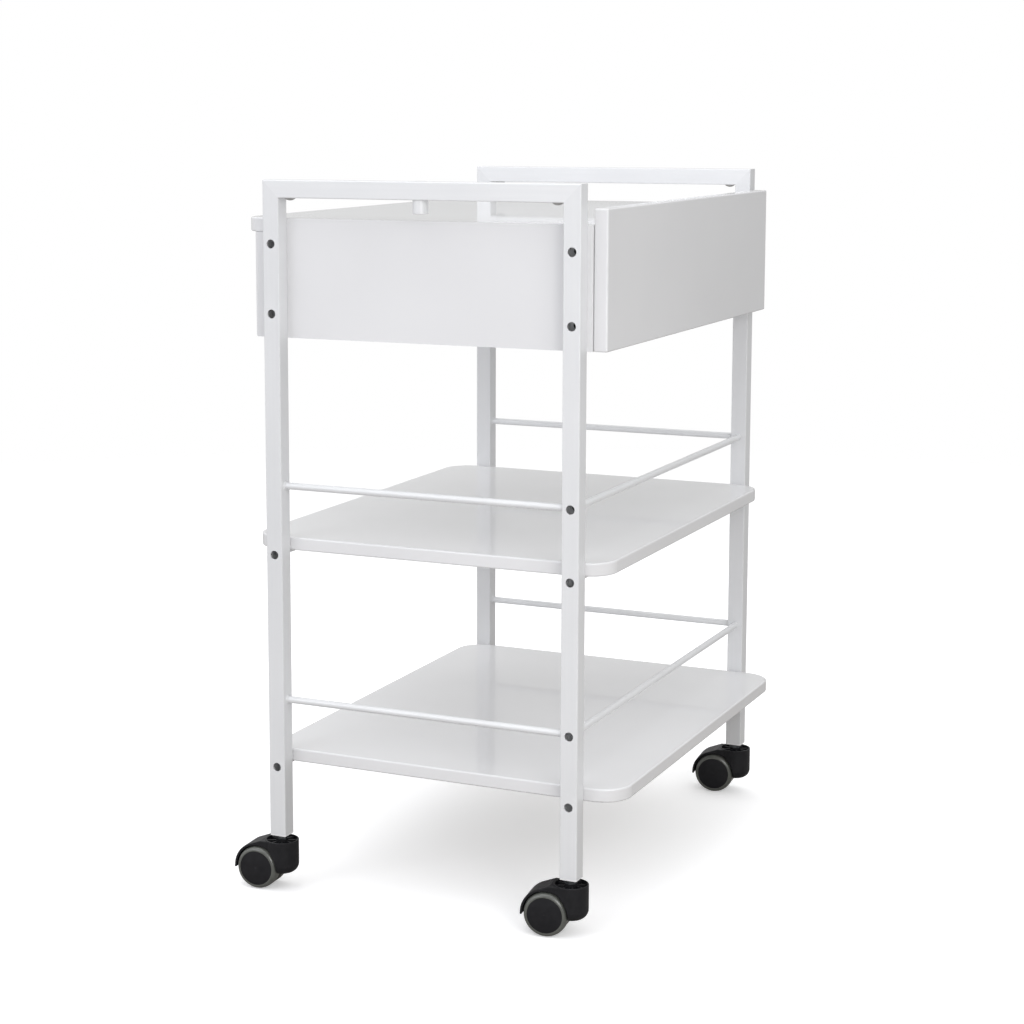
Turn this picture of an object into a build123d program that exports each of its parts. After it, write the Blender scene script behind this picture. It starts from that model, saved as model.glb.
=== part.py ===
from build123d import *
import os
from math import acos, atan2, cos, degrees, hypot, radians, sin

# Rolling treatment cart: two square-tube side frames hold a one-drawer cabinet and two open shelves.
# +X is right seen from the drawer side, +Y is back, +Z is up. All sizes are in millimetres.
# The origin is on the floor, under the middle of the frame.

# Side frames of square steel tube
CART_WIDTH = 600.0
CART_DEPTH = 380.0
CART_HEIGHT = 817.0
LEG_END = 64.0
TUBE = 20.0
TUBE_WALL = 1.5
TUBE_EDGE = 1.4
TUBE_BORE_EDGE = 0.4

# Fits
RUNNING_GAP = 0.05
SEATED_GAP = 0.02
NEST_GAP = 0.3
SCREW_CLEARANCE = 0.25
OVERCUT = 1.0

# Guard rods round each shelf, and the rods that carry the shelves
GUARD_RADIUS = 4.0
GUARD_ABOVE_SHELF = 61.0
WELD_SIZE = 1.4
SUPPORT_RADIUS = 3.0

# Shelves
SHELF_THICK = 15.0
SHELF_DEPTH = 434.0
SHELF_SIDE_GAP = 1.0
SHELF_CORNER = 34.0
SHELF_EASE = 2.0
MID_SHELF_TOP = 412.0
MID_SHELF_FRONT = -213.0
LOW_SHELF_TOP = 164.0
LOW_SHELF_FRONT = -232.5

# Cabinet, hung between the legs under the handle bars
BOARD = 16.0
CABINET_DROP = 43.0
CABINET_HEIGHT = 134.0
CABINET_PROUD = 6.0
TOP_OVERHANG = 33.0
TOP_CORNER = 31.0
BOARD_EASE = 0.4
BACK_ROUND = 4.0

# Drawer
FRONT_THICK = 16.0
FRONT_ABOVE_TOP = 17.0
FRONT_SIDE_STEP = 1.0
FRONT_ROUND = 2.2
FRONT_EASE = 1.8
FRONT_GAP = 0.3
DRAWER_BOARD = 12.0
DRAWER_BASE = 4.0
DRAWER_ROOM_UNDER = 8.0
DRAWER_ROOM_ABOVE = 10.0
DRAWER_ROOM_BEHIND = 22.3

# Telescopic drawer runners
RUNNER_SPACE = 13.0
RUNNER_HEIGHT = 35.0
RUNNER_SHEET = 1.2
RUNNER_SETBACK = 6.0
RUNNER_ROOM_BEHIND = 36.0
RUNNER_CLEAR = 0.5
RUNNER_SCREW_INSET = 30.0

# Screws: shank radius, head radius, head height, and depth in the piece that they hold
CABINET_SCREW = (2.0, 4.25, 2.6, 12.0)
GUARD_SCREW = (2.0, 4.25, 2.6, 14.0)
SUPPORT_SCREW = (1.5, 3.6, 2.2, 14.0)
DRAWER_SCREW = (2.0, 4.0, 2.4, 10.0)
CABINET_SCREW_OFFSET = 39.0
ACCESS_RADIUS = 5.0
SOCKET_ACROSS = 0.55
SOCKET_DEPTH = 1.3
COUNTERSUNK_SHANK = 1.7
COUNTERSUNK_HEAD = 3.0
COUNTERSUNK_DEPTH = 10.0

# Lamp socket under the left handle bar, and the plugs of the bars' drain holes
SOCKET_BORE = 6.1
SOCKET_RADIUS = 8.5
SOCKET_SPIGOT = 7.6
SOCKET_DROP = 15.0
PLUG_RADIUS = 6.75
PLUG_DROP = 3.0
PLUG_STEM = 5.0
PLUG_STEM_LENGTH = 6.0
PLUG_INSET = 30.0

# Leg inserts and caster stems
FLANGE = 2.0
INSERT_GAP = 0.1
INSERT_LENGTH = 20.0
STEM_RADIUS = 4.0
STEM_THREAD = 18.0
COLLAR_ACROSS = 13.0
COLLAR_HEIGHT = 5.0
PIN_LENGTH = 16.0

# Twin-wheel hooded casters, drawn with the wheels trailing along +X
WHEEL_RADIUS = 25.0
WHEEL_DISC = 20.0
WHEEL_TRAIL = 25.0
WHEEL_FACE = 19.0
DISC_FACE = 18.6
DISC_DOME = 1.6
WHEEL_INNER = 4.6
TREAD_FLAT = 11.5
TREAD_LIP = 0.6
TREAD_INNER_ROUND = 1.2
AXLE_RADIUS = 3.0
AXLE_HALF = 15.5
AXLE_END_ROOM = 0.5
HUB_GAP = 0.6
BARREL_RADIUS = 19.5
BARREL_TOP = 58.0
BARREL_BOTTOM = 19.0
BARREL_ROUND = 11.0
BARREL_WALL = 1.6
RIM_EASE = 0.7
POCKET_DEPTH = 6.0
BOSS_RADIUS = 7.0
BOSS_RISE = 0.6
RIB_COUNT = 8
RIB_THICK = 1.6
RIB_DROP = 1.2
HOOD_GAP = 1.3
HOOD_SKIN = 2.5
HOOD_LEVEL = 1.5
HOOD_HALF = 16.0
HOOD_TOP_DROP = 0.8
HOOD_EASE = 1.0
HOOD_TIP = 24.0
WEB_HALF = 4.0
WEB_BOTTOM = 13.0
WEB_ROUND = 9.0
CASTER_ANGLES = {"left_front": 97.0, "left_rear": 93.0, "right_front": 96.0, "right_rear": 84.0}

# Places that follow from the sizes above
LEG_X = (CART_WIDTH - TUBE) / 2
LEG_Y = (CART_DEPTH - TUBE) / 2
INNER_X = CART_WIDTH / 2 - TUBE
INNER_Y = CART_DEPTH / 2 - TUBE
BAR_Z = CART_HEIGHT - TUBE / 2
BAR_UNDER = CART_HEIGHT - TUBE
PLUG_Y = CART_DEPTH / 2 - PLUG_INSET
CABINET_TOP = CART_HEIGHT - CABINET_DROP
CABINET_BOTTOM = CABINET_TOP - CABINET_HEIGHT
CABINET_MID = (CABINET_TOP + CABINET_BOTTOM) / 2
CABINET_HALF_DEPTH = CART_DEPTH / 2 + CABINET_PROUD
CABINET_SCREW_Z = (CABINET_MID + CABINET_SCREW_OFFSET, CABINET_MID - CABINET_SCREW_OFFSET)
GUARD_Z = (MID_SHELF_TOP + GUARD_ABOVE_SHELF, LOW_SHELF_TOP + GUARD_ABOVE_SHELF)
SUPPORT_Z = tuple(top - SHELF_THICK - SUPPORT_RADIUS for top in (MID_SHELF_TOP, LOW_SHELF_TOP))
CAVITY_X = INNER_X - BOARD
DRAWER_X = CAVITY_X - RUNNER_SPACE
FRONT_BACK_Y = -CABINET_HALF_DEPTH - FRONT_GAP
DRAWER_BACK_Y = CABINET_HALF_DEPTH - DRAWER_ROOM_BEHIND
DRAWER_BASE_Z = CABINET_BOTTOM + BOARD + DRAWER_ROOM_UNDER
DRAWER_FLOOR_Z = DRAWER_BASE_Z + DRAWER_BASE
DRAWER_RIM_Z = CABINET_TOP - BOARD - DRAWER_ROOM_ABOVE
RUNNER_FRONT_Y = -CABINET_HALF_DEPTH + RUNNER_SETBACK
RUNNER_BACK_Y = CABINET_HALF_DEPTH - RUNNER_ROOM_BEHIND
RUNNER_SCREW_Y = (
    RUNNER_FRONT_Y + RUNNER_SCREW_INSET,
    (RUNNER_FRONT_Y + RUNNER_BACK_Y) / 2,
    RUNNER_BACK_Y - RUNNER_SCREW_INSET,
)
COLLAR_BOTTOM = LEG_END - COLLAR_HEIGHT
STAND = (Align.CENTER, Align.CENTER, Align.MIN)


def block(x_span, y_span, z_span):
    """Box between two opposite corners."""
    spans = [sorted(span) for span in (x_span, y_span, z_span)]
    middle = [(low + high) / 2 for low, high in spans]
    return Pos(*middle) * Box(*[high - low for low, high in spans])


def rod_x(x_span, y, z, radius):
    low, high = sorted(x_span)
    return Pos(low, y, z) * Rot(0, 90, 0) * Cylinder(radius, high - low, align=STAND)


def rod_y(y_span, x, z, radius):
    low, high = sorted(y_span)
    return Pos(x, low, z) * Rot(-90, 0, 0) * Cylinder(radius, high - low, align=STAND)


def rod_z(z_span, x, y, radius):
    low, high = sorted(z_span)
    return Pos(x, y, low) * Cylinder(radius, high - low, align=STAND)


def to_left(piece):
    """The same piece on the left side of the cart."""
    return mirror(piece, about=Plane.YZ)


def save(name, *pieces):
    """Write one node, as a single solid or as a group of separate solids."""
    solids = [solid for piece in pieces for solid in piece.solids()]
    shape = solids[0] if len(solids) == 1 else Compound(solids)
    export_step(shape, f"parts/{name}.step")


def square_tube(length):
    """Hollow square tube that stands on the origin."""
    bore = TUBE - 2 * TUBE_WALL
    section = RectangleRounded(TUBE, TUBE, TUBE_EDGE) - RectangleRounded(bore, bore, TUBE_BORE_EDGE)
    return extrude(section, amount=length)


def mitre_plane(end):
    """The 45 degree cut where a leg meets the handle bar; end is -1 at the front, 1 at the rear."""
    return Plane(origin=(LEG_X, end * CART_DEPTH / 2, CART_HEIGHT), z_dir=(0, -end, 1))


def leg_screws(end):
    """Each screw through a leg: its height and its sizes."""
    rows = [(z, CABINET_SCREW) for z in CABINET_SCREW_Z]
    rows += [(z, SUPPORT_SCREW) for z in SUPPORT_Z]
    if end < 0:
        rows += [(z, GUARD_SCREW) for z in GUARD_Z]
    return rows


def right_leg(end):
    """Upright tube with an access hole outside and a screw hole inside at each screw."""
    tube = Pos(LEG_X, end * LEG_Y, LEG_END + FLANGE) * square_tube(CART_HEIGHT - LEG_END - FLANGE)
    leg = split(tube, bisect_by=mitre_plane(end), keep=Keep.BOTTOM)
    for z, (shank, _, _, _) in leg_screws(end):
        leg -= rod_x((LEG_X, CART_WIDTH / 2 + TUBE), end * LEG_Y, z, ACCESS_RADIUS)
        leg -= rod_x((INNER_X - TUBE, LEG_X), end * LEG_Y, z, shank + SCREW_CLEARANCE)
    return leg


def right_handle_bar():
    """Top tube between the mitres, with a plugged drain hole near each end."""
    bar = Pos(LEG_X, -CART_DEPTH / 2, BAR_Z) * Rot(-90, 0, 0) * square_tube(CART_DEPTH)
    for end in (-1, 1):
        bar = split(bar, bisect_by=mitre_plane(end), keep=Keep.TOP)
        bar -= rod_z((BAR_UNDER - TUBE, BAR_Z), LEG_X, end * PLUG_Y, PLUG_STEM + RUNNING_GAP)
    return bar


def left_handle_bar():
    """The right bar mirrored, with the lamp socket's holes in its middle."""
    bar = to_left(right_handle_bar())
    bar -= rod_z((BAR_UNDER - TUBE, BAR_Z), -LEG_X, 0, SOCKET_SPIGOT + SEATED_GAP)
    return bar - rod_z((BAR_Z, CART_HEIGHT + TUBE), -LEG_X, 0, SOCKET_BORE)


def lamp_socket():
    """Turned sleeve under the bar: its spigot reaches up to the tube's top wall."""
    collar = rod_z((BAR_UNDER - SOCKET_DROP, BAR_UNDER), -LEG_X, 0, SOCKET_RADIUS)
    collar = chamfer(collar.edges().group_by(Axis.Z)[0], RIM_EASE)
    spigot = rod_z((BAR_UNDER, CART_HEIGHT - TUBE_WALL), -LEG_X, 0, SOCKET_SPIGOT)
    bore = rod_z((BAR_UNDER - SOCKET_DROP - TUBE, CART_HEIGHT), -LEG_X, 0, SOCKET_BORE)
    return collar + spigot - bore


def bar_plug(x, y):
    """Domed plug pushed up into a drain hole."""
    dome_radius = (PLUG_RADIUS**2 + PLUG_DROP**2) / (2 * PLUG_DROP)
    dome = Pos(x, y, BAR_UNDER - PLUG_DROP + dome_radius) * Sphere(dome_radius)
    cap = dome & rod_z((BAR_UNDER - TUBE, BAR_UNDER), x, y, PLUG_RADIUS)
    return cap + rod_z((BAR_UNDER, BAR_UNDER + PLUG_STEM_LENGTH), x, y, PLUG_STEM)


def right_guard_rod(z):
    """Side rod between the legs, with a small weld flare at each end."""
    rod = rod_y((-INNER_Y, INNER_Y), LEG_X, z, GUARD_RADIUS)
    flare = Cone(GUARD_RADIUS + WELD_SIZE, GUARD_RADIUS, WELD_SIZE, align=STAND)
    rod += Pos(LEG_X, -INNER_Y, z) * Rot(-90, 0, 0) * flare
    return rod + Pos(LEG_X, INNER_Y, z) * Rot(90, 0, 0) * flare


def cross_rod(y, z, radius, screw):
    """Rod between the side frames, tapped at both ends."""
    rod = rod_x((-INNER_X, INNER_X), y, z, radius)
    shank, _, _, depth = screw
    for side in (-1, 1):
        rod -= rod_x((side * INNER_X, side * (INNER_X - depth - OVERCUT)), y, z, shank + SEATED_GAP)
    return rod


def shelf(top, front):
    """Lacquered board with round corners and eased edges."""
    half_width = INNER_X - SHELF_SIDE_GAP
    board = block((-half_width, half_width), (front, front + SHELF_DEPTH), (top - SHELF_THICK, top))
    board = fillet(board.edges().filter_by(Axis.Z), SHELF_CORNER)
    rims = board.faces().filter_by(Axis.Z).edges()
    return fillet(rims, SHELF_EASE)


def cap_screw(shank, head, head_height, length):
    """Screw with a socket head, its head seated on the XY plane and its shank down."""
    body = Cylinder(head, head_height, align=STAND)
    body = fillet(body.edges().group_by(Axis.Z)[-1], head_height / 3)
    socket = extrude(RegularPolygon(head * SOCKET_ACROSS, 6), amount=SOCKET_DEPTH)
    body -= Pos(0, 0, head_height - SOCKET_DEPTH) * socket
    return body + Pos(0, 0, -length) * Cylinder(shank, length, align=STAND)


def frame_screw(end, z, sizes):
    """Screw through the inner wall of a right leg, its head inside the tube."""
    shank, head, head_height, depth = sizes
    screw = cap_screw(shank, head, head_height, TUBE_WALL + depth)
    return Pos(INNER_X + TUBE_WALL, end * LEG_Y, z) * Rot(0, 90, 0) * screw


def both_sides(pieces):
    return [*pieces, *[to_left(piece) for piece in pieces]]


def right_side_panel():
    """Cabinet side with blind holes for the screws through the legs."""
    panel = block(
        (CAVITY_X, INNER_X),
        (-CABINET_HALF_DEPTH, CABINET_HALF_DEPTH),
        (CABINET_BOTTOM, CABINET_TOP),
    )
    panel = chamfer(panel.edges().filter_by(Axis.Z).sort_by(Axis.Y)[:2], BOARD_EASE)
    shank, _, _, depth = CABINET_SCREW
    for end in (-1, 1):
        for z in CABINET_SCREW_Z:
            reach = (INNER_X - depth - OVERCUT, INNER_X + OVERCUT)
            panel -= rod_x(reach, end * LEG_Y, z, shank + SEATED_GAP)
    for y in RUNNER_SCREW_Y:
        reach = (CAVITY_X - OVERCUT, CAVITY_X + COUNTERSUNK_DEPTH + OVERCUT)
        panel -= rod_x(reach, y, CABINET_MID, COUNTERSUNK_SHANK + SEATED_GAP)
    return panel


def top_panel():
    """Top board between the sides, widening over the back panel to round rear corners."""
    z_span = (CABINET_TOP - BOARD, CABINET_TOP)
    rear = CABINET_HALF_DEPTH + TOP_OVERHANG
    lip = block((-INNER_X, INNER_X), (CABINET_HALF_DEPTH, rear), z_span)
    lip = fillet(lip.edges().filter_by(Axis.Z).sort_by(Axis.Y)[2:], TOP_CORNER)
    lip = fillet(lip.faces().sort_by(Axis.Y)[-1].edges().filter_by(Axis.X), SHELF_EASE)
    inset = block((-CAVITY_X, CAVITY_X), (-CABINET_HALF_DEPTH, CABINET_HALF_DEPTH), z_span)
    return inset + lip


def back_panel():
    """Back board under the top's overhang, its lower and upright rear edges rounded."""
    rear = CABINET_HALF_DEPTH + BOARD
    z_span = (CABINET_BOTTOM, CABINET_TOP - BOARD)
    panel = block((-INNER_X, INNER_X), (CABINET_HALF_DEPTH, rear), z_span)
    rim = panel.faces().sort_by(Axis.Y)[-1].edges().sort_by(Axis.Z)[:-1]
    return fillet(rim, BACK_ROUND)


def bottom_panel():
    return block(
        (-CAVITY_X, CAVITY_X),
        (-CABINET_HALF_DEPTH, CABINET_HALF_DEPTH),
        (CABINET_BOTTOM, CABINET_BOTTOM + BOARD),
    )


def channel(web_x, inner_x, height):
    """C section along Y: its web stands at web_x and its lips reach to inner_x."""
    y_span = (RUNNER_FRONT_Y, RUNNER_BACK_Y)
    inward = 1 if inner_x > web_x else -1
    z_low = CABINET_MID - height / 2
    z_high = CABINET_MID + height / 2
    web = block((web_x, web_x + inward * RUNNER_SHEET), y_span, (z_low, z_high))
    lower = block((web_x, inner_x), y_span, (z_low, z_low + RUNNER_SHEET))
    upper = block((web_x, inner_x), y_span, (z_high - RUNNER_SHEET, z_high))
    return web + lower + upper


def countersunk_screw(x, y, outward):
    """Flat-headed screw along X: head face at x, shank towards outward."""
    head = Cone(COUNTERSUNK_HEAD, COUNTERSUNK_SHANK, RUNNER_SHEET, align=STAND)
    shank = Pos(0, 0, RUNNER_SHEET) * Cylinder(COUNTERSUNK_SHANK, COUNTERSUNK_DEPTH, align=STAND)
    return Pos(x, y, CABINET_MID) * Rot(0, 90 * outward, 0) * (head + shank)


def countersink(x, y, outward):
    """The hole that a countersunk head sits in."""
    hole = Cone(
        COUNTERSUNK_HEAD + SEATED_GAP, COUNTERSUNK_SHANK + SEATED_GAP, RUNNER_SHEET, align=STAND
    )
    return Pos(x, y, CABINET_MID) * Rot(0, 90 * outward, 0) * hole


def nested_height(level):
    """Outer height of a runner member, each level nested in the one before."""
    return RUNNER_HEIGHT - level * 2 * (RUNNER_SHEET + NEST_GAP)


def right_cabinet_runner():
    runner = channel(CAVITY_X, DRAWER_X + RUNNER_CLEAR, nested_height(0))
    for y in RUNNER_SCREW_Y:
        runner -= countersink(CAVITY_X - RUNNER_SHEET, y, 1)
    return runner


def right_middle_runner():
    web_x = CAVITY_X - RUNNER_SHEET - NEST_GAP
    return channel(web_x, DRAWER_X + RUNNER_CLEAR, nested_height(1))


def right_drawer_runner():
    reach = CAVITY_X - 2 * (RUNNER_SHEET + NEST_GAP)
    runner = channel(DRAWER_X, reach, nested_height(2))
    for y in RUNNER_SCREW_Y:
        runner -= countersink(DRAWER_X + RUNNER_SHEET, y, -1)
    return runner


def drawer_front_screw_places():
    x = DRAWER_X - 3 * DRAWER_BOARD
    quarter = (DRAWER_RIM_Z - DRAWER_FLOOR_Z) / 4
    low, high = DRAWER_FLOOR_Z + quarter, DRAWER_RIM_Z - quarter
    return [(side * x, z) for side in (-1, 1) for z in (low, high)]


def drawer_front():
    """Tall front board, gripped by its upper edge, with rounded upright edges."""
    half_width = INNER_X - FRONT_SIDE_STEP
    z_span = (CABINET_BOTTOM, CABINET_TOP + FRONT_ABOVE_TOP)
    board = block((-half_width, half_width), (FRONT_BACK_Y - FRONT_THICK, FRONT_BACK_Y), z_span)
    board = fillet(board.edges().filter_by(Axis.Z), FRONT_ROUND)
    board = fillet(board.faces().filter_by(Axis.Z).edges(), FRONT_EASE)
    shank, _, _, depth = DRAWER_SCREW
    for x, z in drawer_front_screw_places():
        reach = (FRONT_BACK_Y - depth - OVERCUT, FRONT_BACK_Y + OVERCUT)
        board -= rod_y(reach, x, z, shank + SEATED_GAP)
    return board


def drawer_inner_front():
    shank = DRAWER_SCREW[0]
    board = block(
        (DRAWER_BOARD - DRAWER_X, DRAWER_X - DRAWER_BOARD),
        (FRONT_BACK_Y, FRONT_BACK_Y + DRAWER_BOARD),
        (DRAWER_FLOOR_Z, DRAWER_RIM_Z),
    )
    for x, z in drawer_front_screw_places():
        board -= rod_y((FRONT_BACK_Y - OVERCUT, DRAWER_BACK_Y), x, z, shank + SEATED_GAP)
    return board


def right_drawer_side():
    board = block(
        (DRAWER_X - DRAWER_BOARD, DRAWER_X),
        (FRONT_BACK_Y, DRAWER_BACK_Y),
        (DRAWER_FLOOR_Z, DRAWER_RIM_Z),
    )
    for y in RUNNER_SCREW_Y:
        reach = (DRAWER_X - COUNTERSUNK_DEPTH - OVERCUT, DRAWER_X + OVERCUT)
        board -= rod_x(reach, y, CABINET_MID, COUNTERSUNK_SHANK + SEATED_GAP)
    return board


def drawer_back():
    return block(
        (DRAWER_BOARD - DRAWER_X, DRAWER_X - DRAWER_BOARD),
        (DRAWER_BACK_Y - DRAWER_BOARD, DRAWER_BACK_Y),
        (DRAWER_FLOOR_Z, DRAWER_RIM_Z),
    )


def drawer_bottom():
    return block(
        (-DRAWER_X, DRAWER_X), (FRONT_BACK_Y, DRAWER_BACK_Y), (DRAWER_BASE_Z, DRAWER_FLOOR_Z)
    )


def drawer_screws():
    """Four screws into the front board and three into the drawer from each runner."""
    shank, head, head_height, depth = DRAWER_SCREW
    screw = Rot(-90, 0, 0) * cap_screw(shank, head, head_height, DRAWER_BOARD + depth)
    screws = [Pos(x, FRONT_BACK_Y + DRAWER_BOARD, z) * screw for x, z in drawer_front_screw_places()]
    runner_screws = [countersunk_screw(DRAWER_X + RUNNER_SHEET, y, -1) for y in RUNNER_SCREW_Y]
    return screws + both_sides(runner_screws)


def leg_insert():
    """Plastic plug in the leg's end: a flange that shows and a hollow block inside the tube."""
    side = TUBE - 2 * TUBE_WALL - INSERT_GAP
    flange = extrude(RectangleRounded(TUBE, TUBE, TUBE_EDGE), amount=FLANGE)
    body = extrude(RectangleRounded(side, side, TUBE_BORE_EDGE), amount=INSERT_LENGTH)
    body = Pos(0, 0, FLANGE) * body
    return Pos(0, 0, LEG_END) * (flange + body) - rod_z(
        (0, CART_HEIGHT), 0, 0, STEM_RADIUS + SEATED_GAP
    )


def caster_stem():
    """Threaded end in the insert, hexagonal collar, and the pin that the caster turns on."""
    collar = extrude(RegularPolygon(COLLAR_ACROSS / 2, 6, major_radius=False), amount=COLLAR_HEIGHT)
    shaft = rod_z((COLLAR_BOTTOM - PIN_LENGTH, LEG_END + STEM_THREAD), 0, 0, STEM_RADIUS)
    shaft = chamfer(shaft.edges().filter_by(GeomType.CIRCLE), RIM_EASE)
    return Pos(0, 0, COLLAR_BOTTOM) * collar + shaft


def hood_profile():
    """Side view of the hood: level behind the barrel, then a tangent line onto the wheel's curve."""
    radius = WHEEL_RADIUS + HOOD_GAP + HOOD_SKIN
    top = BARREL_TOP - HOOD_TOP_DROP
    corner = (BARREL_RADIUS + HOOD_LEVEL, top)
    rise = corner[1] - WHEEL_RADIUS
    run = corner[0] - WHEEL_TRAIL
    bearing = degrees(atan2(rise, run)) - degrees(acos(radius / hypot(rise, run)))
    tangent = (
        WHEEL_TRAIL + radius * cos(radians(bearing)),
        WHEEL_RADIUS + radius * sin(radians(bearing)),
    )
    fill = Polygon(
        (0, HOOD_TIP), (0, top), corner, tangent, (WHEEL_TRAIL, HOOD_TIP), align=None
    )
    rim = Pos(WHEEL_TRAIL, WHEEL_RADIUS) * Circle(radius)
    above = Pos(0, HOOD_TIP) * Rectangle(
        4 * BARREL_TOP, BARREL_TOP, align=(Align.CENTER, Align.MIN)
    )
    return (fill + rim) & above


def web_profile():
    """Side view of the middle web that carries the axle."""
    lug = Pos(WHEEL_TRAIL, WHEEL_RADIUS) * Circle(WEB_ROUND)
    link = Polygon(
        (-BARREL_RADIUS / 4, BARREL_BOTTOM),
        (WHEEL_TRAIL / 2, WEB_BOTTOM),
        (WHEEL_TRAIL, WHEEL_RADIUS - WEB_ROUND),
        (WHEEL_TRAIL, WHEEL_RADIUS + WEB_ROUND),
        (-BARREL_RADIUS / 4, WHEEL_RADIUS + WEB_ROUND),
        align=None,
    )
    return lug + link


def side_extrude(profile, half_width):
    """Extrude a side view drawn in X and Z to both sides of the middle plane."""
    return extrude(Plane.XZ * profile, amount=half_width, both=True)


def caster_housing():
    """Barrel round the stem, hood over the twin wheels, and the web between them."""
    barrel = rod_z((BARREL_BOTTOM, BARREL_TOP), 0, 0, BARREL_RADIUS)
    barrel = fillet(barrel.edges().group_by(Axis.Z)[0], BARREL_ROUND)
    barrel = fillet(barrel.edges().group_by(Axis.Z)[-1], RIM_EASE)
    hood = side_extrude(hood_profile(), HOOD_HALF)
    sides = hood.faces().filter_by(Axis.Y)
    curved = [edge for edge in sides.edges() if edge.center().Z > HOOD_TIP + OVERCUT]
    hood = fillet(curved, HOOD_EASE)
    cavity = rod_y((WEB_HALF, 2 * HOOD_HALF), WHEEL_TRAIL, WHEEL_RADIUS, WHEEL_RADIUS + HOOD_GAP)
    housing = barrel + hood
    for side in (cavity, mirror(cavity, about=Plane.XZ)):
        housing -= side
    tip_x = WHEEL_TRAIL + WHEEL_RADIUS + HOOD_GAP + HOOD_SKIN / 2
    housing += rod_y((-HOOD_HALF, HOOD_HALF), tip_x, HOOD_TIP, HOOD_SKIN / 2)
    housing += side_extrude(web_profile(), WEB_HALF)
    pocket_floor = BARREL_TOP - POCKET_DEPTH
    housing -= rod_z((pocket_floor, 2 * BARREL_TOP), 0, 0, BARREL_RADIUS - BARREL_WALL)
    rib_foot = pocket_floor - OVERCUT
    housing += rod_z((rib_foot, BARREL_TOP + BOSS_RISE), 0, 0, BOSS_RADIUS)
    rib = block(
        (BOSS_RADIUS / 2, BARREL_RADIUS - BARREL_WALL / 2),
        (-RIB_THICK / 2, RIB_THICK / 2),
        (rib_foot, BARREL_TOP - RIB_DROP),
    )
    for turn in range(RIB_COUNT):
        housing += Rot(0, 0, (turn + 0.5) * 360 / RIB_COUNT) * rib
    pin_room = COLLAR_BOTTOM - PIN_LENGTH - AXLE_END_ROOM
    housing -= rod_z((pin_room, 2 * BARREL_TOP), 0, 0, STEM_RADIUS + RUNNING_GAP)
    return housing - rod_y(
        (-BARREL_RADIUS, BARREL_RADIUS), WHEEL_TRAIL, WHEEL_RADIUS, AXLE_RADIUS + SEATED_GAP
    )


def caster_axle():
    axle = rod_y((-AXLE_HALF, AXLE_HALF), WHEEL_TRAIL, WHEEL_RADIUS, AXLE_RADIUS)
    return chamfer(axle.edges().filter_by(GeomType.CIRCLE), RIM_EASE)


def on_axle(piece):
    """Lay a wheel piece that was turned about Z on the axle, facing +Y."""
    return Pos(WHEEL_TRAIL, 0, WHEEL_RADIUS) * Rot(-90, 0, 0) * piece


def wheel_core():
    """Wheel with a domed face and a blind bore for the axle."""
    dome_radius = (WHEEL_DISC**2 + DISC_DOME**2) / (2 * DISC_DOME)
    dome = Pos(0, 0, DISC_FACE + DISC_DOME - dome_radius) * Sphere(dome_radius)
    core = dome & rod_z((WHEEL_INNER + HUB_GAP, DISC_FACE + TUBE), 0, 0, WHEEL_DISC)
    core -= rod_z((0, AXLE_HALF + AXLE_END_ROOM), 0, 0, AXLE_RADIUS + RUNNING_GAP)
    return on_axle(core)


def wheel_tread():
    """Soft tread ring whose crown rolls over towards the disc."""
    bore = WHEEL_DISC + SEATED_GAP
    lip = bore + TREAD_LIP
    crown = EllipticalCenterArc(
        (lip, TREAD_FLAT), WHEEL_RADIUS - lip, WHEEL_FACE - TREAD_FLAT, start_angle=0, arc_size=90
    )
    rest = Polyline(
        (lip, WHEEL_FACE),
        (bore, WHEEL_FACE),
        (bore, WHEEL_INNER),
        (WHEEL_RADIUS, WHEEL_INNER),
        (WHEEL_RADIUS, TREAD_FLAT),
    )
    ring = revolve(Plane.XZ * make_face([crown, rest]), axis=Axis.Z)
    ring = fillet(ring.edges().group_by(Axis.Z)[0].sort_by(SortBy.RADIUS)[-1], TREAD_INNER_ROUND)
    return on_axle(ring)


def side_frames():
    bar = right_handle_bar()
    save("right_handle_bar", bar)
    save("left_handle_bar", left_handle_bar())
    for end, name in ((-1, "front"), (1, "rear")):
        leg = right_leg(end)
        save(f"right_{name}_leg", leg)
        save(f"left_{name}_leg", to_left(leg))
    save("lamp_socket", lamp_socket())
    corners = [(x, y) for x in (-LEG_X, LEG_X) for y in (-PLUG_Y, PLUG_Y)]
    save("bar_plugs", *[bar_plug(x, y) for x, y in corners])


def rods_and_shelves():
    rods = [right_guard_rod(z) for z in GUARD_Z]
    save("right_guard_rods", *rods)
    save("left_guard_rods", *[to_left(rod) for rod in rods])
    save("front_guard_rods", *[cross_rod(-LEG_Y, z, GUARD_RADIUS, GUARD_SCREW) for z in GUARD_Z])
    places = [(y, z) for y in (-LEG_Y, LEG_Y) for z in SUPPORT_Z]
    save("shelf_supports", *[cross_rod(y, z, SUPPORT_RADIUS, SUPPORT_SCREW) for y, z in places])
    save("mid_shelf", shelf(MID_SHELF_TOP, MID_SHELF_FRONT))
    save("low_shelf", shelf(LOW_SHELF_TOP, LOW_SHELF_FRONT))


def frame_screws():
    """All screws through the legs, grouped by what they hold."""
    ends = (-1, 1)
    cabinet = [frame_screw(end, z, CABINET_SCREW) for end in ends for z in CABINET_SCREW_Z]
    support = [frame_screw(end, z, SUPPORT_SCREW) for end in ends for z in SUPPORT_Z]
    guard = [frame_screw(-1, z, GUARD_SCREW) for z in GUARD_Z]
    save("cabinet_screws", *both_sides(cabinet))
    save("support_screws", *both_sides(support))
    save("guard_screws", *both_sides(guard))


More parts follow.
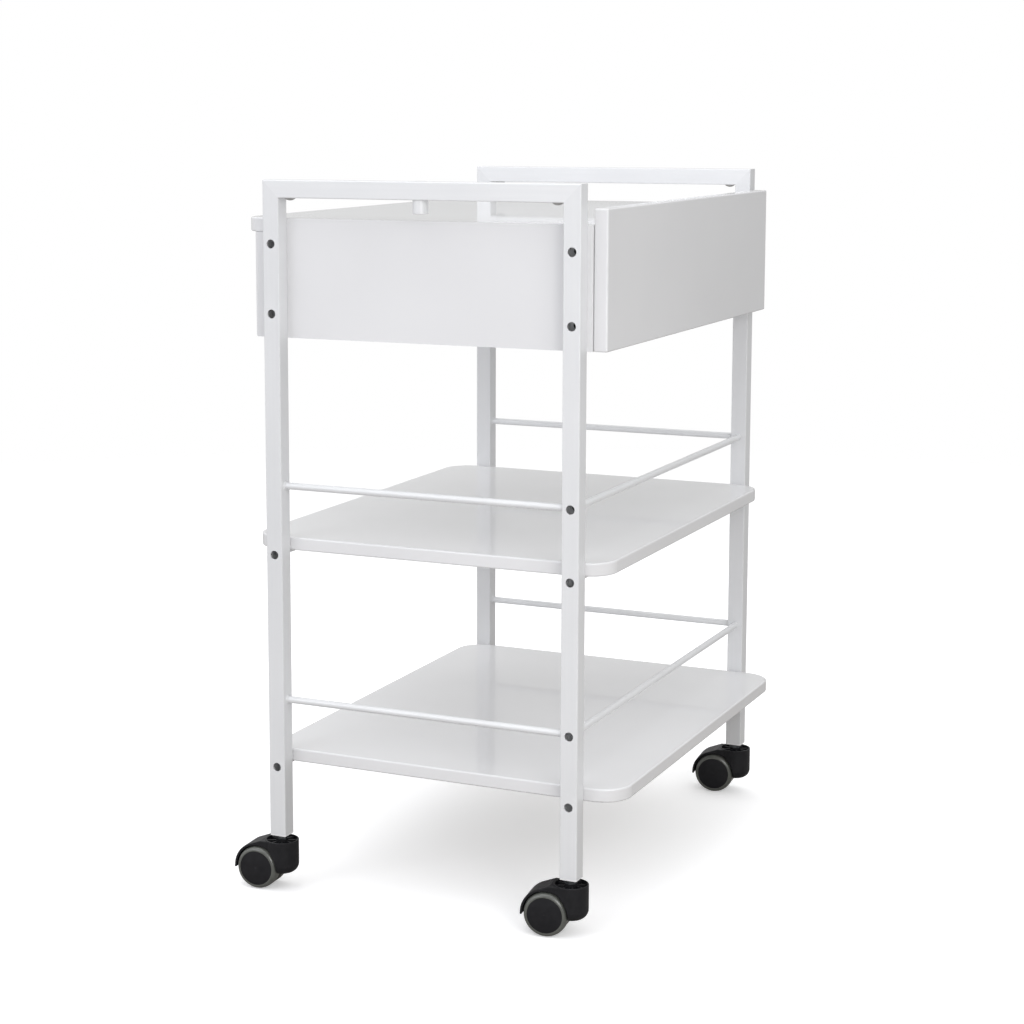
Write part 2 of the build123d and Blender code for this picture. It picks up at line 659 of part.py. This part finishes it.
def cabinet():
    panel = right_side_panel()
    save("right_side_panel", panel)
    save("left_side_panel", to_left(panel))
    save("top_panel", top_panel())
    save("back_panel", back_panel())
    save("bottom_panel", bottom_panel())
    save("cabinet_runners", *both_sides([right_cabinet_runner()]))
    head_x = CAVITY_X - RUNNER_SHEET
    save("runner_screws", *both_sides([countersunk_screw(head_x, y, 1) for y in RUNNER_SCREW_Y]))
    middle = right_middle_runner()
    save("right_middle_runner", middle)
    save("left_middle_runner", to_left(middle))


def drawer():
    side = right_drawer_side()
    save("drawer_front", drawer_front())
    save("drawer_inner_front", drawer_inner_front())
    save("drawer_right_side", side)
    save("drawer_left_side", to_left(side))
    save("drawer_back", drawer_back())
    save("drawer_bottom", drawer_bottom())
    save("drawer_runners", *both_sides([right_drawer_runner()]))
    save("drawer_screws", *drawer_screws())


def casters():
    """Four casters, each turned to the way that it stands."""
    housing, axle = caster_housing(), caster_axle()
    wheel, tread = wheel_core(), wheel_tread()
    feet = [Pos(x, y, 0) for x in (-LEG_X, LEG_X) for y in (-LEG_Y, LEG_Y)]
    save("leg_inserts", *[foot * leg_insert() for foot in feet])
    save("caster_stems", *[foot * caster_stem() for foot in feet])
    for foot, name in zip(feet, CASTER_ANGLES):
        place = foot * Rot(0, 0, CASTER_ANGLES[name])
        save(f"{name}_housing", place * housing)
        save(f"{name}_axle", place * axle)
        for faces, label in ((1, "outer"), (-1, "inner")):
            turned = faces if name.startswith("left") else -faces
            core = wheel if turned > 0 else mirror(wheel, about=Plane.XZ)
            ring = tread if turned > 0 else mirror(tread, about=Plane.XZ)
            save(f"{name}_{label}_wheel", place * core)
            save(f"{name}_{label}_tread", place * ring)


os.makedirs("parts", exist_ok=True)
side_frames()
rods_and_shelves()
frame_screws()
cabinet()
drawer()
casters()
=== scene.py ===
"""Finishes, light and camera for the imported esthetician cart.

Every shape is the cart's own solid. This script paints each material slot with a procedural
finish, and adds the floor, the light and the camera.

Lengths are in metres, light powers in watts and angles in degrees. Seen from the drawer's side,
X points to the right, Y away and Z up.
"""

import math

import bmesh
import bpy
from mathutils import Matrix, Vector


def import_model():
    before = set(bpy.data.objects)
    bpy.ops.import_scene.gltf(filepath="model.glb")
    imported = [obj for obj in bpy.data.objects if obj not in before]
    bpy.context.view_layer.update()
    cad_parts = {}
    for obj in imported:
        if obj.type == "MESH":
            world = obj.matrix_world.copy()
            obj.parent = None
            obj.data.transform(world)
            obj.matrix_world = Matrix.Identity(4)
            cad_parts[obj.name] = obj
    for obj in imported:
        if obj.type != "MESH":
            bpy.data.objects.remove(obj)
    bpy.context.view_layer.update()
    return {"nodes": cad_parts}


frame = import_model()
scene = bpy.context.scene

# Streaks run along the axis whose factor is small
ALONG_X = (0.03, 1.0, 1.0)
ALONG_Y = (1.0, 0.03, 1.0)
ALONG_Z = (1.0, 1.0, 0.03)
ALONG_RUNNER = (1.0, 0.02, 1.0)

# Enamel: the two whites that it varies between, on bars and rods and on the legs, and its streaks
BAR_WHITES = ("ECEDEE", "E7E8E9")
# The legs' whites are painted shade: the bars' enamel made a shade darker to stand in for the
# uprights catching less light
LEG_SHADED_WHITES = ("E8E9EA", "E3E4E5")
STREAK_GREY = "DADBDD"

# Enamelled nodes whose tube or rod runs across the cart
CROSS_RODS = ("front_guard_rods", "shelf_supports")

# The floor starts to fade at one radius and ends at the other. It glows for the camera only, and
# the light that it throws back has a darker colour than the paper that the camera sees.
FLOOR_FADE = 1.3
FLOOR_RADIUS = 3.2
FLOOR_SEGMENTS = 96
FLOOR_GLOW = 0.32
FLOOR_BOUNCE = "A29F9B"
FLOOR_WHITES = ("FAFAFA", "F7F7F7")

# Room light: its strength at the horizon and below, what straight above and straight behind add,
# its colour from the left and from the right, and the backdrop's brightness for the camera
ROOM_LEVEL = 0.40
ROOM_RISE = 0.72
ROOM_BACK = 0.36
ROOM_LEFT = (0.945, 0.955, 1.0, 1.0)
ROOM_RIGHT = (1.0, 1.0, 0.99, 1.0)
BACKDROP = 1.0

# Light boxes: place, the point that the box faces, side of its square, power and colour
COOL = (0.94, 0.955, 1.0)
WARM = (1.0, 0.99, 0.985)
NEUTRAL = (1, 1, 1)
LIGHT_BOXES = {
    "key_box": ((-2.3, 1.15, 1.45), (0, 0, 0.5), 1.1, 9, COOL),
    "front_box": ((-1.6, -1.9, 1.5), (0, 0, 0.5), 1.2, 13, WARM),
    "low_box": ((-1.7, -1.1, 0.7), (0, 0, 0.4), 0.8, 6.3, WARM),
    "top_box": ((-0.3, 0.3, 3.0), (0, 0, 0.5), 2.0, 9.5, NEUTRAL),
}

# Camera, solved from the corners of the cart in the photograph: its place, its yaw from Y towards
# X, pitch downwards and roll, its sensor and lens, and how far its frame is shifted
CAMERA_PLACE = (-2.4876, -1.0563, 0.8983)
CAMERA_ANGLES = (64.561, 8.208, -0.133)
CAMERA_SENSOR_MM = 36
CAMERA_LENS_MM = 79.217
CAMERA_SHIFT = (0.08, -0.08)
CAMERA_CLIP = (0.05, 200)


# Node helpers


def linear(hex_colour):
    """A display colour such as "E3E4E8" as the linear values of a shader socket, with alpha 1."""
    values = [int(hex_colour[i : i + 2], 16) / 255 for i in (0, 2, 4)]
    return [v / 12.92 if v < 0.04045 else ((v + 0.055) / 1.055) ** 2.4 for v in values] + [1.0]


def colour_socket(sockets, name=None):
    """A mix node has one socket of each name for each type; this is the one for colours."""
    return next(s for s in sockets if s.type == "RGBA" and name in (None, s.name))


class Finish:
    """A material that varies in colour, roughness and height with the place on the piece."""

    def __init__(self, name, **constants):
        self.material = bpy.data.materials.new(name)
        self.material.use_nodes = True
        self.nodes = self.material.node_tree.nodes
        self.links = self.material.node_tree.links
        self.shader = self.nodes["Principled BSDF"]
        self.place = self.nodes.new("ShaderNodeTexCoord").outputs["Object"]
        for socket, value in constants.items():
            self.shader.inputs[socket.replace("_", " ")].default_value = value
        self.normal = None

    def stretched(self, scale):
        """The place on the piece, scaled by one factor per axis, for streaks along an axis."""
        node = self.nodes.new("ShaderNodeMapping")
        node.inputs["Scale"].default_value = scale
        self.links.new(self.place, node.inputs["Vector"])
        return node.outputs["Vector"]

    def noise(self, size, detail=2.0, contrast=0.5, along=None):
        """Cloudy values around 0.5 whose blotches are about size metres across."""
        node = self.nodes.new("ShaderNodeTexNoise")
        node.inputs["Scale"].default_value = 1 / size
        node.inputs["Detail"].default_value = detail
        node.inputs["Roughness"].default_value = contrast
        self.links.new(self.stretched(along) if along else self.place, node.inputs["Vector"])
        return node.outputs["Fac"]

    def ranged(self, value, low, high, start=0.3, end=0.7):
        """Value mapped from start..end to low..high."""
        node = self.nodes.new("ShaderNodeMapRange")
        node.inputs["From Min"].default_value = start
        node.inputs["From Max"].default_value = end
        node.inputs["To Min"].default_value = low
        node.inputs["To Max"].default_value = high
        self.links.new(value, node.inputs["Value"])
        return node.outputs["Result"]

    def mixed(self, share, colour_a, colour_b):
        """Colour a where share is 0 and colour b where it is 1; either may be an output."""
        node = self.nodes.new("ShaderNodeMix")
        node.data_type = "RGBA"
        self.links.new(share, node.inputs["Factor"])
        for name, colour in (("A", colour_a), ("B", colour_b)):
            target = colour_socket(node.inputs, name)
            if isinstance(colour, bpy.types.NodeSocket):
                self.links.new(colour, target)
            else:
                target.default_value = colour
        return colour_socket(node.outputs)

    def tone(self, cloud, low_colour, high_colour):
        """One display colour where the cloud is low, shading into the other where it is high."""
        return self.mixed(self.ranged(cloud, 0, 1), linear(low_colour), linear(high_colour))

    def colour(self, output):
        """Colours the surface by an output."""
        self.links.new(output, self.shader.inputs["Base Color"])

    def roughness(self, output):
        """Makes the surface as rough as an output says."""
        self.links.new(output, self.shader.inputs["Roughness"])

    def bump(self, height, depth):
        """Adds relief of about depth metres from a 0..1 height."""
        node = self.nodes.new("ShaderNodeBump")
        node.inputs["Distance"].default_value = depth
        self.links.new(height, node.inputs["Height"])
        if self.normal:
            self.links.new(self.normal, node.inputs["Normal"])
        self.normal = node.outputs["Normal"]
        self.links.new(self.normal, self.shader.inputs["Normal"])


# Finishes


def enamel(name, whites, along):
    """Baked white enamel on steel tube: cool white and satin, with a fine orange peel and the
    faint greyer streaks of the drawn tube, which run along one axis."""
    f = Finish(name, Coat_Weight=0.6, Coat_Roughness=0.22)
    drawn = f.noise(0.005, detail=3, along=along)
    cloud = f.noise(0.12)
    tone = f.tone(cloud, *whites)
    f.colour(f.mixed(f.ranged(drawn, 0.2, 0), tone, linear(STREAK_GREY)))
    f.roughness(f.ranged(drawn, 0.30, 0.42))
    f.bump(drawn, depth=12e-6)
    f.bump(f.noise(0.0022), depth=6e-6)
    return f.material


def frame_paint():
    """The enamel of the handle bars, side guard rods and lamp socket."""
    return enamel("enamel_bars", BAR_WHITES, ALONG_Y)


def shaded_leg_paint():
    """The uprights' enamel, darker than the bars' as painted shade, which shows along the mitres.
    """
    return enamel("enamel_legs_painted_shade", LEG_SHADED_WHITES, ALONG_Z)


def cross_rod_paint():
    """The enamel of the front guard rods and the shelf supports."""
    return enamel("enamel_cross_rods", BAR_WHITES, ALONG_X)


def board_lacquer():
    """White lacquer of the shelves, cabinet and drawer front: smoother than the enamel, with long
    soft waves."""
    f = Finish("board_lacquer_white", Coat_Weight=0.6, Coat_Roughness=0.04)
    f.colour(f.tone(f.noise(0.2), "EDEDEE", "E8E8E9"))
    f.roughness(f.ranged(f.noise(0.3, detail=1), 0.20, 0.24, start=0.2, end=0.8))
    f.bump(f.noise(0.1, detail=0), depth=20e-6)
    return f.material


def drawer_board():
    """Plain white melamine of the drawer box, with a pearl grain."""
    f = Finish("melamine_white")
    f.colour(f.tone(f.noise(0.004, detail=3), "E6E5E2", "DEDDDA"))
    f.roughness(f.ranged(f.noise(0.02), 0.42, 0.55))
    f.bump(f.noise(0.0008), depth=20e-6)
    return f.material


def runner_steel():
    """Zinc plated sheet of the runners, rolled along its length, and the screws inside."""
    f = Finish("zinc_sheet", Metallic=1.0)
    rolled = f.noise(0.002, detail=4, along=ALONG_RUNNER)
    cloud = f.noise(0.03, detail=4)
    f.colour(f.tone(cloud, "C9CCCE", "AEB3B6"))
    f.roughness(f.ranged(rolled, 0.29, 0.42))
    f.bump(rolled, depth=20e-6)
    return f.material


def stem_steel():
    """Dull plated steel of the caster stems and axles."""
    f = Finish("plated_stem", Metallic=1.0)
    f.colour(f.tone(f.noise(0.006, detail=4), "8A8D90", "5F6265"))
    f.roughness(f.ranged(f.noise(0.003), 0.32, 0.5))
    f.bump(f.noise(0.0007), depth=10e-6)
    return f.material


def dark_screws():
    """Blackened steel of the screws in the legs, rubbed slightly brighter in blotches."""
    f = Finish("black_oxide", Metallic=0.6)
    f.colour(f.tone(f.noise(0.002, detail=3), "191A1C", "2E3033"))
    f.roughness(f.ranged(f.noise(0.0015), 0.38, 0.55))
    f.bump(f.noise(0.0005), depth=10e-6)
    return f.material


def insert_plastic():
    """White moulded plugs in the tube ends."""
    f = Finish("insert_white")
    f.colour(f.tone(f.noise(0.01), "F0F0F0", "E8E8E8"))
    f.roughness(f.ranged(f.noise(0.004), 0.38, 0.5))
    f.bump(f.noise(0.0006), depth=10e-6)
    return f.material


def plug_plastic():
    """Grey press-in caps under the handle bars."""
    f = Finish("plug_grey")
    f.colour(f.tone(f.noise(0.004), "B2B1AF", "9E9C9A"))
    f.roughness(f.ranged(f.noise(0.002), 0.4, 0.55))
    f.bump(f.noise(0.0006), depth=10e-6)
    return f.material


def caster_plastic():
    """Black nylon of the caster housings and wheels, with a fine spark-eroded grain."""
    f = Finish("nylon_black", Specular_IOR_Level=0.3)
    f.colour(f.tone(f.noise(0.008, detail=4), "151518", "1D1D20"))
    f.roughness(f.ranged(f.noise(0.004, detail=3), 0.42, 0.54))
    f.bump(f.noise(0.0005, detail=3), depth=20e-6)
    return f.material


def tread_rubber():
    """Grey polyurethane tyre, dulled by dust in patches."""
    f = Finish("tread_grey", Coat_Weight=0.8, Coat_Roughness=0.12)
    dust = f.noise(0.006, detail=5, contrast=0.6)
    f.colour(f.tone(dust, "50524D", "60625D"))
    f.roughness(f.ranged(dust, 0.29, 0.42))
    f.bump(f.noise(0.001, detail=3), depth=20e-6)
    return f.material


# Finish of each material slot in the frame
FINISHES = {
    "frame_paint": frame_paint,
    "board_lacquer": board_lacquer,
    "drawer_board": drawer_board,
    "runner_steel": runner_steel,
    "stem_steel": stem_steel,
    "dark_screws": dark_screws,
    "insert_plastic": insert_plastic,
    "plug_plastic": plug_plastic,
    "caster_plastic": caster_plastic,
    "tread_rubber": tread_rubber,
}


def paint_slots():
    """Gives every node the finish of the material slot that it was packed with. The enamel's
    streaks follow the tube, so legs and cross rods have their own; the legs' copy is also darker,
    as painted shade."""
    made = {slot: make() for slot, make in FINISHES.items()}
    # The legs' enamel is a darker copy of the bars': painted shade
    legs, cross_rods = shaded_leg_paint(), cross_rod_paint()
    for name, node in frame["nodes"].items():
        for material_slot in node.material_slots:
            if name.endswith("_leg"):
                material_slot.material = legs
            elif name in CROSS_RODS:
                material_slot.material = cross_rods
            else:
                material_slot.material = made[material_slot.material.name]


# Room


def floor():
    """A pale round floor that fades into the white backdrop away from the cart. It is darker for
    the light that it throws back than for the camera."""
    mesh = bpy.data.meshes.new("floor")
    shape = bmesh.new()
    bmesh.ops.create_circle(shape, cap_ends=True, segments=FLOOR_SEGMENTS, radius=FLOOR_RADIUS)
    shape.to_mesh(mesh)
    shape.free()
    made = bpy.data.objects.new("floor", mesh)
    scene.collection.objects.link(made)
    f = Finish("floor_paper", Specular_IOR_Level=0.1, Emission_Color=(1, 1, 1, 1))
    seen = f.nodes.new("ShaderNodeLightPath").outputs["Is Camera Ray"]
    paper = f.tone(f.noise(0.8), *FLOOR_WHITES)
    f.colour(f.mixed(seen, linear(FLOOR_BOUNCE), paper))
    glow = f.ranged(seen, 0, FLOOR_GLOW, start=0, end=1)
    f.links.new(glow, f.shader.inputs["Emission Strength"])
    f.roughness(f.ranged(f.noise(0.3), 0.85, 0.95))
    away = f.nodes.new("ShaderNodeVectorMath")
    away.operation = "LENGTH"
    f.links.new(f.place, away.inputs[0])
    fade = f.ranged(away.outputs["Value"], 1, 0, start=FLOOR_FADE, end=FLOOR_RADIUS)
    f.links.new(fade, f.shader.inputs["Alpha"])
    mesh.materials.append(f.material)


def world():
    """Soft room light, graded and tinted by direction. The camera sees it as a plain white
    backdrop."""
    made = bpy.data.worlds.new("studio")
    made.use_nodes = True
    nodes, links = made.node_tree.nodes, made.node_tree.links
    nodes.clear()
    towards = nodes.new("ShaderNodeTexCoord")
    parts = nodes.new("ShaderNodeSeparateXYZ")
    links.new(towards.outputs["Generated"], parts.inputs["Vector"])

    def graded(axis, start, low, high):
        """Low where the direction's part along the axis is start, and high where it is 1."""
        node = nodes.new("ShaderNodeMapRange")
        node.inputs["From Min"].default_value = start
        node.inputs["To Min"].default_value = low
        node.inputs["To Max"].default_value = high
        links.new(parts.outputs[axis], node.inputs["Value"])
        return node.outputs["Result"]

    strength = nodes.new("ShaderNodeMath")
    links.new(graded("Z", 0, ROOM_LEVEL, ROOM_LEVEL + ROOM_RISE), strength.inputs[0])
    links.new(graded("Y", 0, 0, ROOM_BACK), strength.inputs[1])
    tint = nodes.new("ShaderNodeMix")
    tint.data_type = "RGBA"
    links.new(graded("X", -1, 0, 1), tint.inputs["Factor"])
    colour_socket(tint.inputs, "A").default_value = ROOM_LEFT
    colour_socket(tint.inputs, "B").default_value = ROOM_RIGHT
    lit = nodes.new("ShaderNodeBackground")
    links.new(colour_socket(tint.outputs), lit.inputs["Color"])
    links.new(strength.outputs[0], lit.inputs["Strength"])
    shown = nodes.new("ShaderNodeBackground")
    shown.inputs["Color"].default_value = (1, 1, 1, 1)
    shown.inputs["Strength"].default_value = BACKDROP
    path = nodes.new("ShaderNodeLightPath")
    mix = nodes.new("ShaderNodeMixShader")
    out = nodes.new("ShaderNodeOutputWorld")
    links.new(path.outputs["Is Camera Ray"], mix.inputs[0])
    links.new(lit.outputs[0], mix.inputs[1])
    links.new(shown.outputs[0], mix.inputs[2])
    links.new(mix.outputs[0], out.inputs[0])
    scene.world = made


def softbox(name, place, target, side, power, colour):
    """A square soft light at place that faces target."""
    lamp = bpy.data.lights.new(name, "AREA")
    lamp.shape = "RECTANGLE"
    lamp.size = side
    lamp.size_y = side
    lamp.energy = power
    lamp.color = colour
    made = bpy.data.objects.new(name, lamp)
    made.location = place
    made.rotation_mode = "QUATERNION"
    made.rotation_quaternion = (Vector(target) - Vector(place)).to_track_quat("-Z", "Y")
    scene.collection.objects.link(made)


def lights():
    """The room light and the light boxes."""
    world()
    for name, numbers in LIGHT_BOXES.items():
        softbox(name, *numbers)


def camera():
    """The photograph's viewpoint: a long lens, from the left front, looking slightly down."""
    yaw, pitch, roll = (math.radians(angle) for angle in CAMERA_ANGLES)
    ahead = Vector(
        (math.sin(yaw) * math.cos(pitch), math.cos(yaw) * math.cos(pitch), -math.sin(pitch))
    )
    right = Vector((math.cos(yaw), -math.sin(yaw), 0))
    up = right.cross(ahead)
    right, up = (
        right * math.cos(roll) + up * math.sin(roll),
        up * math.cos(roll) - right * math.sin(roll),
    )
    data = bpy.data.cameras.new("camera")
    data.sensor_width = CAMERA_SENSOR_MM
    data.lens = CAMERA_LENS_MM
    data.shift_x, data.shift_y = CAMERA_SHIFT
    data.clip_start, data.clip_end = CAMERA_CLIP
    made = bpy.data.objects.new("camera", data)
    turned = Matrix((right, up, -ahead)).transposed().to_4x4()
    made.matrix_world = Matrix.Translation(CAMERA_PLACE) @ turned
    scene.collection.objects.link(made)
    scene.camera = made


scene.view_settings.view_transform = "Standard"
paint_slots()
floor()
lights()
camera()
